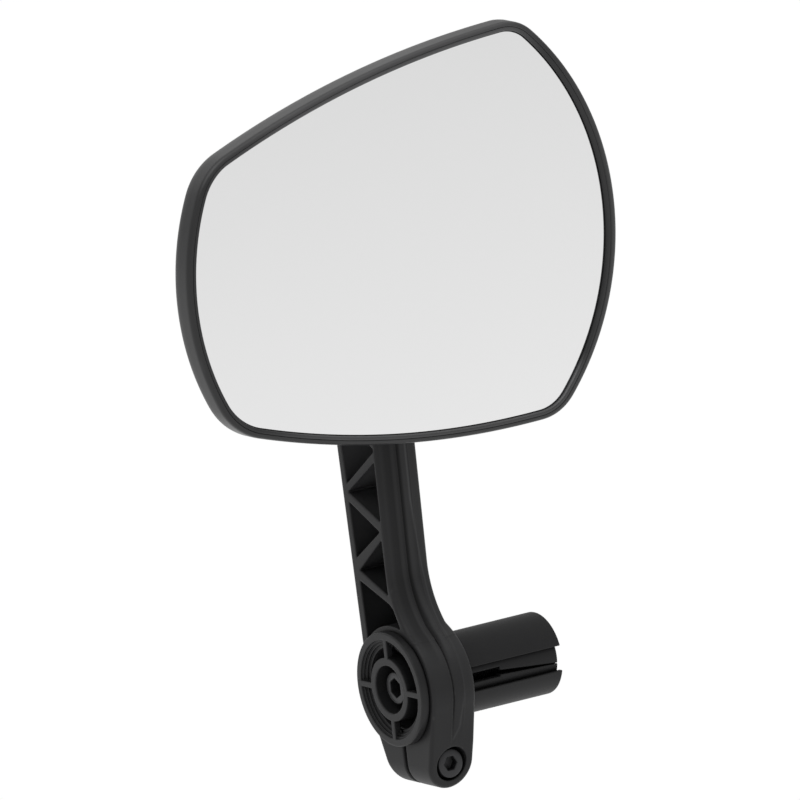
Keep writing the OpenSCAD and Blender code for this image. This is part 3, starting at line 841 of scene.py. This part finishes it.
def arm_painted_light_and_shade(x, y, z):
    """Painted light and shade on the moulded skin: painted shade along the parting groove, a
    painted highlight on the ridge behind it, painted light on the neck and in the pockets."""
    depth = -np.minimum(truss_outline(y, z), clamp_outline(y, z))
    groove_x = along(z, GROOVE_X)
    # painted shade: a dark band along the parting groove
    painted_light = 1.0 - 0.5 * rise(z, 4.0, 6.0) * bell(x, groove_x, along(z, GROOVE_PAINTED_SHADE_WIDTH))
    # painted shade and painted light in bands across the front half and just behind the groove
    bands = along(x, FRONT_PAINTED_LIGHT_AND_SHADE) * along(x - groove_x, BEHIND_GROOVE_PAINTED_LIGHT)
    painted_light *= 1 + rise(z, 6.0, 6.0) * (bands - 1)
    # painted highlight along the ridge
    painted_light += along(z, RIDGE_PAINTED_HIGHLIGHT) * bell(x, along(z, RIDGE_X), 0.24)
    # painted light on the neck over the ring
    painted_light *= along(z, NECK_PAINTED_LIGHT)
    skin = fall(depth, 1.0, 0.15) * rise(x, ARM_X0, 0.5)
    # the pockets' walls: painted shade at the mouth, painted light deeper in and higher up
    inside = rise(depth, 0.9, 0.4) * rise(z, 12.0, 3.0) * rise(x, ARM_X0, 0.4)
    wall = along(z, POCKET_PAINTED_LIGHT) * along(x, POCKET_DEPTH_PAINTED_LIGHT)
    return (1 + skin * (painted_light - 1)) * (1 + inside * (wall - 1))


make_net("truss_arm", arm_distance, (-13.2, -15.4, -24.0), (0.9, 16.6, 109.9),
         (0.16, 0.25, 0.34), "arm", "arm_plastic", "arm", painted_light=arm_painted_light_and_shade)


# ---------------------------------------------------------------------------
# plug
# ---------------------------------------------------------------------------
# radius and floor x of the flange's stepped well
PLUG_WELL = [(11.4, PLUG_X + 0.5), (10.9, PLUG_X + 1.0), (10.3, PLUG_X + 1.5), (9.5, -4.5)]
SLIT = [(10, -0.6), (27, -1.32), (27, -1.18), (10, 0.5)]    # in (x, across)


def plug_distance(x, y, z):
    r = np.hypot(y, z)
    # flange, hollow body and the spigot behind it
    plug = intersect(r - 13.15, slab(x, PLUG_X, PLUG_X + 2.2), 0.45)
    plug = np.minimum(plug, intersect(r - 10.9, slab(x, PLUG_X + 1.5, 0.0), 0.2))
    plug = np.maximum(plug, -np.maximum(r - 9.5, SLEEVE_X0 - x))
    plug = np.minimum(plug, intersect(r - 5.9, slab(x, -1.0, 2.5), 0.4))
    # stepped well round the hub, crossed by four spokes
    well = functools.reduce(
        np.minimum, [np.maximum(r - radius, x - floor) for radius, floor in PLUG_WELL])
    well = intersect(well, 7.3 - r, 0.12)
    spokes = np.maximum(np.minimum(np.abs(z), np.abs(y)) - 0.65, x - (PLUG_X + 1.6))
    plug = cut(plug, cut(well, spokes, 0.12), 0.16)
    # a notch above and below, then the screw's counterbore and hole
    notch = overlap(slab(x, PLUG_X + 1.6, PLUG_X + 2.8), np.abs(y) - 1.6,
                    slab(np.abs(z), 9.0, 11.3))
    plug = cut(plug, notch, 0.1)
    plug = cut(plug, np.maximum(r - 5.5, x - SCREW_SEAT_X), 0.3)
    return cut(plug, r - SCREW_HOLE_R, 0.2)


def plug_painted_light_and_shade(x, y, z):
    """Painted shade on the hub's flank and round the screw's head, painted light on the front
    faces and the wells' floors."""
    r = np.hypot(y, z)
    depth = x - PLUG_X
    flank = rise(depth, 0.4, 0.8) * rise(r, 7.1, 0.1) * fall(r, 7.6, 0.1)
    floor = rise(depth, 1.7, 0.3) * rise(r, 7.6, 0.1) * fall(r, 9.7, 0.1)
    hub = rise(depth, 0.25, 0.3) * fall(r, 5.7, 0.1)
    face = fall(x, PLUG_X + 0.3, 0.2)
    return 1 - 0.42 * flank + 0.8 * floor - 0.25 * hub + 0.15 * face


def quarters(y, z):
    """For each quarter turn: outward and sideways coordinates, then the same along the
    diagonal as sideways and outward."""
    half_root = math.sqrt(0.5)
    for out, side in ((z, y), (-y, z), (-z, -y), (y, -z)):
        yield out, side, (out - side) * half_root, (out + side) * half_root


def expander_distance(x, y, z):
    r = np.hypot(y, z)
    barrel = intersect(r - 8.2, slab(x, SLEEVE_X0, 26.0), 0.35)
    barrel = cut(barrel, cone(x, r, x0=15, x1=26, r0=5.95, r1=7.4), 0.15)
    # four slits, and four grooves for the wedge's ribs between them
    for out, side, diagonal_side, diagonal_out in quarters(y, z):
        barrel = cut(barrel, np.maximum(polygon(x, side, SLIT), 5.0 - out), 0.1)
        groove = overlap(np.abs(diagonal_side) - 0.6, 15.4 - x, slab(diagonal_out, 4.0, 7.6))
        barrel = np.maximum(barrel, -groove)
    windows = overlap(np.abs(z - 0.1) - 1.1, slab(x, 0.6, 10.4), 5.0 - np.abs(y))
    return cut(barrel, windows, 0.15)


def adapter_distance(x, y, z):
    """A tube with a narrower collar at its -x end, split along its -y side."""
    r = np.hypot(y, z)
    tube = intersect(r - 9.45, slab(x, 0.0, SLEEVE_X1), 0.4)
    tube = np.minimum(tube, intersect(r - 9.15, slab(x, SLEEVE_X0, 1.0), 0.1))
    tube = cut(tube, r - 8.25, 0.2)
    return cut(tube, np.maximum(np.abs(z) - 2.85, y), 0.16)


def wedge_distance(x, y, z):
    r = np.hypot(y, z)
    wedge = intersect(cone(x, r, x0=WEDGE_X0, x1=WEDGE_X1, r0=5.62, r1=7.1),
                      slab(x, WEDGE_X0, WEDGE_X1), 0.4)
    for _, _, side, out in quarters(y, z):
        wedge = np.minimum(wedge, overlap(np.abs(side) - 0.5, slab(x, 16.0, 24.0),
                                          slab(out, 4.5, 7.5)))
    wedge = cut(wedge, r - SCREW_HOLE_R, 0.2)
    return cut(wedge, np.maximum(hexagon_distance(z, y, 4.06), WEDGE_NUT_X - x), 0.2)


make_net("plug_flange", plug_distance, (-14.8, -13.7, -13.7), (3.0, 13.7, 13.7), 0.15,
         "plug", "plug_plastic", "plug_body", painted_light=plug_painted_light_and_shade)
make_net("expander_barrel", expander_distance, (-0.8, -8.6, -8.6), (26.5, 8.6, 8.6), 0.2,
         "plug", "expander_plastic", "expander_sleeve")
make_net("adapter_shell", adapter_distance, (-0.8, -9.9, -9.9), (SLEEVE_X1 + 0.5, 9.9, 9.9),
         0.2, "plug", "sleeve_plastic", "adapter_sleeve")
make_net("wedge_cone", wedge_distance, (15.0, -8.0, -8.0), (26.8, 8.0, 8.0), 0.24,
         "wedge", "expander_plastic", "wedge")


# ---------------------------------------------------------------------------
# fasteners
# ---------------------------------------------------------------------------
def threaded(start, end, radius, pitch, depth, per_turn=10):
    """Rows of a thread between start and end, fading in and out."""
    def groove(place):
        fade = min(1.0, (place - start) / pitch, (end - place) / pitch)

        def radius_at(angle):
            wave = 1 - abs(2 * ((place / pitch - angle / TAU) % 1.0) - 1)
            return radius - depth * fade * np.clip(1.25 * wave - 0.1, 0, 1)
        return radius_at

    count = max(2, int((end - start) / pitch * per_turn))
    places = [start + (end - start) * i / count for i in range(count + 1)]
    return [(place, groove(place)) for place in places]


def socket_screw(front, head_end, tip, head_r, shank_r, flats, depth, pitch, thread_from,
                 turn=0.0):
    """Rows of a cap screw with a hexagon socket, across flats and depth deep."""
    floor, chamfer = front + depth, 0.3
    rows = [
        # socket
        (floor, 0), (floor, hexagon(flats * 0.8, turn)), (floor - 0.15, hexagon(flats, turn)),
        (front + 0.18, hexagon(flats, turn)), (front, hexagon(flats + 0.30, turn)),
        # head and shank
        (front, head_r - chamfer), (front + chamfer * 0.35, head_r - chamfer * 0.3),
        (front + chamfer, head_r), (head_end - 0.15, head_r), (head_end, head_r - 0.15),
        (head_end, shank_r + 0.15), (head_end + 0.15, shank_r), (thread_from, shank_r)]
    rows += threaded(thread_from + 0.05, tip - 0.5, shank_r, pitch, depth=pitch * 0.55)
    rows += [(tip - 0.45, shank_r), (tip - 0.1, shank_r - 0.4), (tip, shank_r - 0.7), (tip, 0)]
    return rows


def socket_painted_shade(x, y, z):
    """Painted shade: the hexagon socket is painted darker than the face of the head."""
    socket = (np.hypot(y, z) < 2.35) & (x > SCREW_X + 0.1) & (x < SCREW_X + 3.15)
    return np.where(socket, 0.4, 1.0)


def washer(name, axis, start, end, inner, outer, body, material, replaced):
    c = 0.12    # chamfer
    rows = [(start, inner + c), (start, outer - c), (start + c, outer), (end - c, outer),
            (end, outer - c), (end, inner + c), (end - c, inner), (start + c, inner)]
    make(name, *lathe(axis, rows, count=72, closed=True), body, material, replaced, crease=30)


def nut(name, axis, start, end, flats, inner, body, replaced, turn=0.0):
    side = hexagon(flats, turn)
    face = hexagon(flats, turn, cap=flats / 2 / math.cos(math.pi / 6) * 0.93)
    rows = [(start, inner + 0.25), (start, face), (start + 0.35, side), (end - 0.35, side),
            (end, face), (end, inner + 0.25)]
    rows += [(end - 0.25 - (end - start - 0.5) * i / 6, inner) for i in range(7)]
    make(name, *lathe(axis, rows, closed=True), body, "zinc_steel", replaced, crease=25)


screw = socket_screw(front=SCREW_X, head_end=SCREW_HEAD_X, tip=WEDGE_X1, head_r=3.65,
                     shank_r=2.5, flats=4.0, depth=3.0, pitch=0.8, thread_from=1.0,
                     turn=math.radians(30))
make("socket_screw", *lathe(PLUG_AXIS, screw), "expander_screw", "screw_steel",
     "expander_screw", crease=32, slot="black_steel", painted_light=socket_painted_shade)
bolt = socket_screw(front=-9.5, head_end=BOLT_HEAD_Y, tip=7.6, head_r=3.3, shank_r=2.0,
                    flats=3.0, depth=2.1, pitch=0.7, thread_from=-1.0)
make("clamp_bolt", *lathe(BOLT_AXIS, bolt), "pinch_bolt", "black_steel", "pinch_bolt",
     crease=32)

washer("screw_seat_washer", PLUG_AXIS, SCREW_HEAD_X, SCREW_SEAT_X, inner=2.6, outer=5.3,
       body="plug", material="zinc_steel", replaced="screw_washer")
washer("bolt_seat_washer", BOLT_AXIS, BOLT_HEAD_Y, BOLT_SEAT_Y, inner=2.1, outer=3.8,
       body="arm", material="black_steel", replaced="pinch_washer")
washer("stud_seat_washer", STUD_AXIS, STUD_SEAT_Y, STUD_NUT_Y, inner=3.1, outer=5.0,
       body="arm", material="zinc_steel", replaced="stud_washer")

nut("wedge_hex_nut", PLUG_AXIS, WEDGE_NUT_X, WEDGE_X1, flats=8.0, inner=2.55,
    body="wedge", replaced="wedge_nut", turn=math.radians(30))
nut("clamp_hex_nut", BOLT_AXIS, BOLT_NUT_Y, 7.4, flats=7.0, inner=2.05,
    body="arm", replaced="pinch_nut")
nut("stud_hex_nut", STUD_AXIS, STUD_NUT_Y, ARM_Y1, flats=9.0, inner=3.03,
    body="arm", replaced="stud_nut")


# ---------------------------------------------------------------------------
# ball joint
# ---------------------------------------------------------------------------
def build_stud():
    sweep_angle = math.pi - math.asin(STUD_R / BALL_R)
    rows = [(BALL_Y - BALL_R, 0)]
    for k in range(1, 40):
        angle = -math.pi / 2 + sweep_angle * k / 39
        rows.append((BALL_Y + BALL_R * math.sin(angle), BALL_R * math.cos(angle)))
    # neck, collar against the arm's boss, threaded end
    rows += [(BALL_Y + 5.35, 2.98), (BALL_Y + 5.6, STUD_R), (8.0, STUD_R), (8.1, 3.05),
             (8.2, 3.3), (8.2, 4.8), (8.32, 5.0), (8.88, 5.0), (BOSS_Y, 4.88), (BOSS_Y, 3.1),
             (9.1, STUD_R), (10.5, STUD_R)]
    rows += threaded(10.6, 15.1, STUD_R, pitch=1.0, depth=0.5)
    rows += [(15.2, STUD_R), (ARM_Y1, 2.6), (ARM_Y1, 0)]
    make("ball_and_stud", *lathe(STUD_AXIS, rows), "arm", "bright_steel", "ball_stud",
         crease=35)


def ball_ring(name, start, end, body):
    """A ring between two spheres round the ball, cut by planes at start and end from its
    centre."""
    inner, outer, steps = 6.05, 7.6, 10
    cuts = [start + (end - start) * k / steps for k in range(steps + 1)]
    rows = [(BALL_Y + t, math.sqrt(outer * outer - t * t)) for t in cuts]
    rows += [(BALL_Y + t, math.sqrt(inner * inner - t * t)) for t in reversed(cuts)]
    make(name, *lathe(STUD_AXIS, rows, closed=True), body, "seat_nylon", body, crease=35)


def build_spring():
    """A wave spring: a flat ring with three waves on it."""
    inner, outer, half_thick, wave, count = 3.7, 5.3, 0.16, 0.38, 144
    angle = np.arange(count) / count * TAU
    middle = (PLATE_Y1 + CUP_Y) / 2 + wave * np.cos(3 * angle)
    points = [np.stack([BALL_X + r * np.cos(angle), middle + side * half_thick,
                        BALL_Z + r * np.sin(angle)], 1)
              for r, side in ((inner, -1), (outer, -1), (outer, 1), (inner, 1))]
    make("wave_spring", np.concatenate(points), grid_faces(4, count, closed=True), "head",
         "spring_steel", "cup_spring", crease=30)


def plate_distance(x, y, z):
    u, w = x - BALL_X, z - BALL_Z
    r = np.hypot(u, w)
    plate = intersect(r - PLATE_R, slab(y, PLATE_Y0, PLATE_Y1), 0.25)
    plate = cut(plate, r - 2.6, 0.2)
    for angle in PLATE_SCREW_ANGLES:
        hole = np.hypot(u - PLATE_SCREW_R * math.cos(angle),
                        w - PLATE_SCREW_R * math.sin(angle)) - 1.4
        plate = cut(plate, hole, 0.15)
    return plate


def build_plate_screws():
    # place from the plate's +y face, radius
    socket_and_head = [(-1.9, 0), (-1.9, hexagon(1.5)), (-2.62, hexagon(1.6)), (-2.7, 1.1),
                       (-2.55, 2.0), (-2.2, 2.3), (-1.3, 2.3), (-1.2, 2.2), (-1.2, 1.2),
                       (-1.1, 1.12)]
    rows = [(PLATE_Y1 + place, radius) for place, radius in socket_and_head]
    rows += threaded(PLATE_Y1 - 0.9, PLATE_Y1 + 4.6, 1.12, pitch=0.9, depth=0.32, per_turn=8)
    rows += [(PLATE_Y1 + 5.0, 0.8), (PLATE_Y1 + 5.5, 0.2), (PLATE_Y1 + 5.5, 0)]
    points, faces = [], []
    for angle in PLATE_SCREW_ANGLES:
        origin = (BALL_X + PLATE_SCREW_R * math.cos(angle), 0,
                  BALL_Z + PLATE_SCREW_R * math.sin(angle))
        screw_points, screw_faces = lathe(("y", origin), rows, count=36)
        faces += [tuple(i + len(points) for i in face) for face in screw_faces]
        points += list(screw_points)
    make("plate_screws", points, faces, "head", "zinc_steel", "clamp_screws", crease=32)


build_stud()
ball_ring("seat_ring", start=1.2, end=4.0, body="ball_seat")
ball_ring("cup_ring", start=-5.2, end=-1.2, body="pressure_cup")
build_spring()
make_net("socket_plate", plate_distance,
         (BALL_X - 13.7, BALL_Y - 8.1, BALL_Z - 13.7),
         (BALL_X + 13.7, BALL_Y - 5.9, BALL_Z + 13.7), 0.3, "head", "zinc_steel", "clamp_plate")
build_plate_screws()

# the pad keeps its CAD shape and takes a foam material
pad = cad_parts["lens_pad"]
pad.data.materials.clear()
pad.data.materials.append(MATERIALS["foam_pad"])


# ---------------------------------------------------------------------------
# stage, lights and camera (metres)
# ---------------------------------------------------------------------------
FLOOR_HALF, FLOOR_Z = 6.0, -0.20
FLOOR_LIGHT = 0.95                       # the floor's brightness to all but the camera
# place on the ramp from straight down (0) to straight up (1), grey level
WORLD_DOWN, WORLD_UP = 0.85, 0.95
WORLD_STOPS = [(0.49, 0.75), (0.52, 0.60), (0.66, 0.50), (0.80, 0.55)]
LIGHT_TARGET = (-0.004, 0.0, 0.06)
SENSOR, FOCAL_LENGTH = 36.0, 1200.0      # mm
VIEW_WIDTH = 0.1798                      # width seen at the target
CAMERA_TARGET = Vector((4.632, 12.715, 61.442)) * MM


def floor_material():
    """Plain white to the camera, a little greyer to everything it lights, and clear from
    below."""
    material = bpy.data.materials.new("pale_floor")
    material.use_nodes = True
    tree = material.node_tree
    tree.nodes.remove(tree.nodes["Principled BSDF"])
    camera_ray = add_node(tree, "LightPath").outputs["Is Camera Ray"]
    level = remap(tree, camera_ray, (FLOOR_LIGHT, 1.0))
    mottle = add_node(tree, "TexNoise", {"Scale": 2.0}).outputs["Fac"]
    strength = maths(tree, "MULTIPLY", level, remap(tree, mottle, (1.0, 1.01)))
    glow = add_node(tree, "Emission", {"Strength": strength})
    clear = add_node(tree, "BsdfTransparent")
    below = add_node(tree, "NewGeometry").outputs["Backfacing"]
    mix = add_node(tree, "MixShader", {"Fac": below, 1: glow.outputs["Emission"],
                                       2: clear.outputs["BSDF"]})
    feed(tree, tree.nodes["Material Output"], {"Surface": mix.outputs["Shader"]})
    return material


def build_floor():
    bm = bmesh.new()
    corners = ((-1, -1), (1, -1), (1, 1), (-1, 1))
    bm.faces.new([bm.verts.new((x * FLOOR_HALF, y * FLOOR_HALF, FLOOR_Z)) for x, y in corners])
    mesh = bpy.data.meshes.new("floor")
    bm.to_mesh(mesh)
    bm.free()
    floor = bpy.data.objects.new("floor", mesh)
    bpy.context.scene.collection.objects.link(floor)
    mesh.materials.append(floor_material())


def grey(level):
    return (level, level, level, 1)


def build_world():
    """White to the camera; to everything else a grey that varies with height."""
    world = bpy.data.worlds.new("studio")
    bpy.context.scene.world = world
    world.use_nodes = True
    tree = world.node_tree
    tree.nodes.clear()
    output = add_node(tree, "OutputWorld")
    coords = add_node(tree, "TexCoord").outputs["Generated"]
    height = add_node(tree, "SeparateXYZ", {"Vector": coords}).outputs["Z"]
    place = remap(tree, height, (0.0, 1.0), source=(-1.0, 1.0))
    ramp = add_node(tree, "ValToRGB", {"Fac": place})
    stops = ramp.color_ramp.elements
    stops[0].color = grey(WORLD_DOWN)
    stops[1].color = grey(WORLD_UP)
    for position, level in WORLD_STOPS:
        stops.new(position).color = grey(level)
    camera_ray = add_node(tree, "LightPath").outputs["Is Camera Ray"]
    mix = add_node(tree, "Mix", {"Factor": camera_ray, "A": ramp.outputs["Color"],
                                 "B": grey(1)}, data_type="RGBA")
    background = add_node(tree, "Background", {"Color": mix.outputs["Result"],
                                               "Strength": 1.0})
    feed(tree, output, {"Surface": background.outputs["Background"]})


def area_light(name, location, width, height, power):
    data = bpy.data.lights.new(name, "AREA")
    data.energy = power
    data.shape = "RECTANGLE"
    data.size = width
    data.size_y = height
    light = bpy.data.objects.new(name, data)
    bpy.context.scene.collection.objects.link(light)
    light.location = location
    light.rotation_mode = "QUATERNION"
    aim = Vector(LIGHT_TARGET) - Vector(location)
    light.rotation_quaternion = aim.to_track_quat("-Z", "Y")


def build_camera():
    """A long lens far away, so that the view is near parallel."""
    data = bpy.data.cameras.new("camera")
    camera = bpy.data.objects.new("camera", data)
    bpy.context.scene.collection.objects.link(camera)
    data.sensor_width = SENSOR
    data.lens = FOCAL_LENGTH
    back = Vector((-0.52408, -0.82530, 0.21029)).normalized()
    right = Vector((0.19954, 0.12106, 0.97238)).cross(back).normalized()
    up = back.cross(right).normalized()
    camera.location = CAMERA_TARGET + back * (VIEW_WIDTH / SENSOR * FOCAL_LENGTH)
    camera.rotation_mode = "QUATERNION"
    camera.rotation_quaternion = Matrix((right, up, back)).transposed().to_quaternion()
    data.clip_start, data.clip_end = 0.5, 60.0
    bpy.context.scene.camera = camera


build_floor()
build_world()
area_light("key", (-0.5, -0.2, 1.0), width=0.9, height=0.9, power=3.0)
area_light("back", (0.0, 1.33, 0.74), width=1.6, height=0.8, power=2.1)
build_camera()
bpy.context.scene.view_settings.view_transform = "Standard"
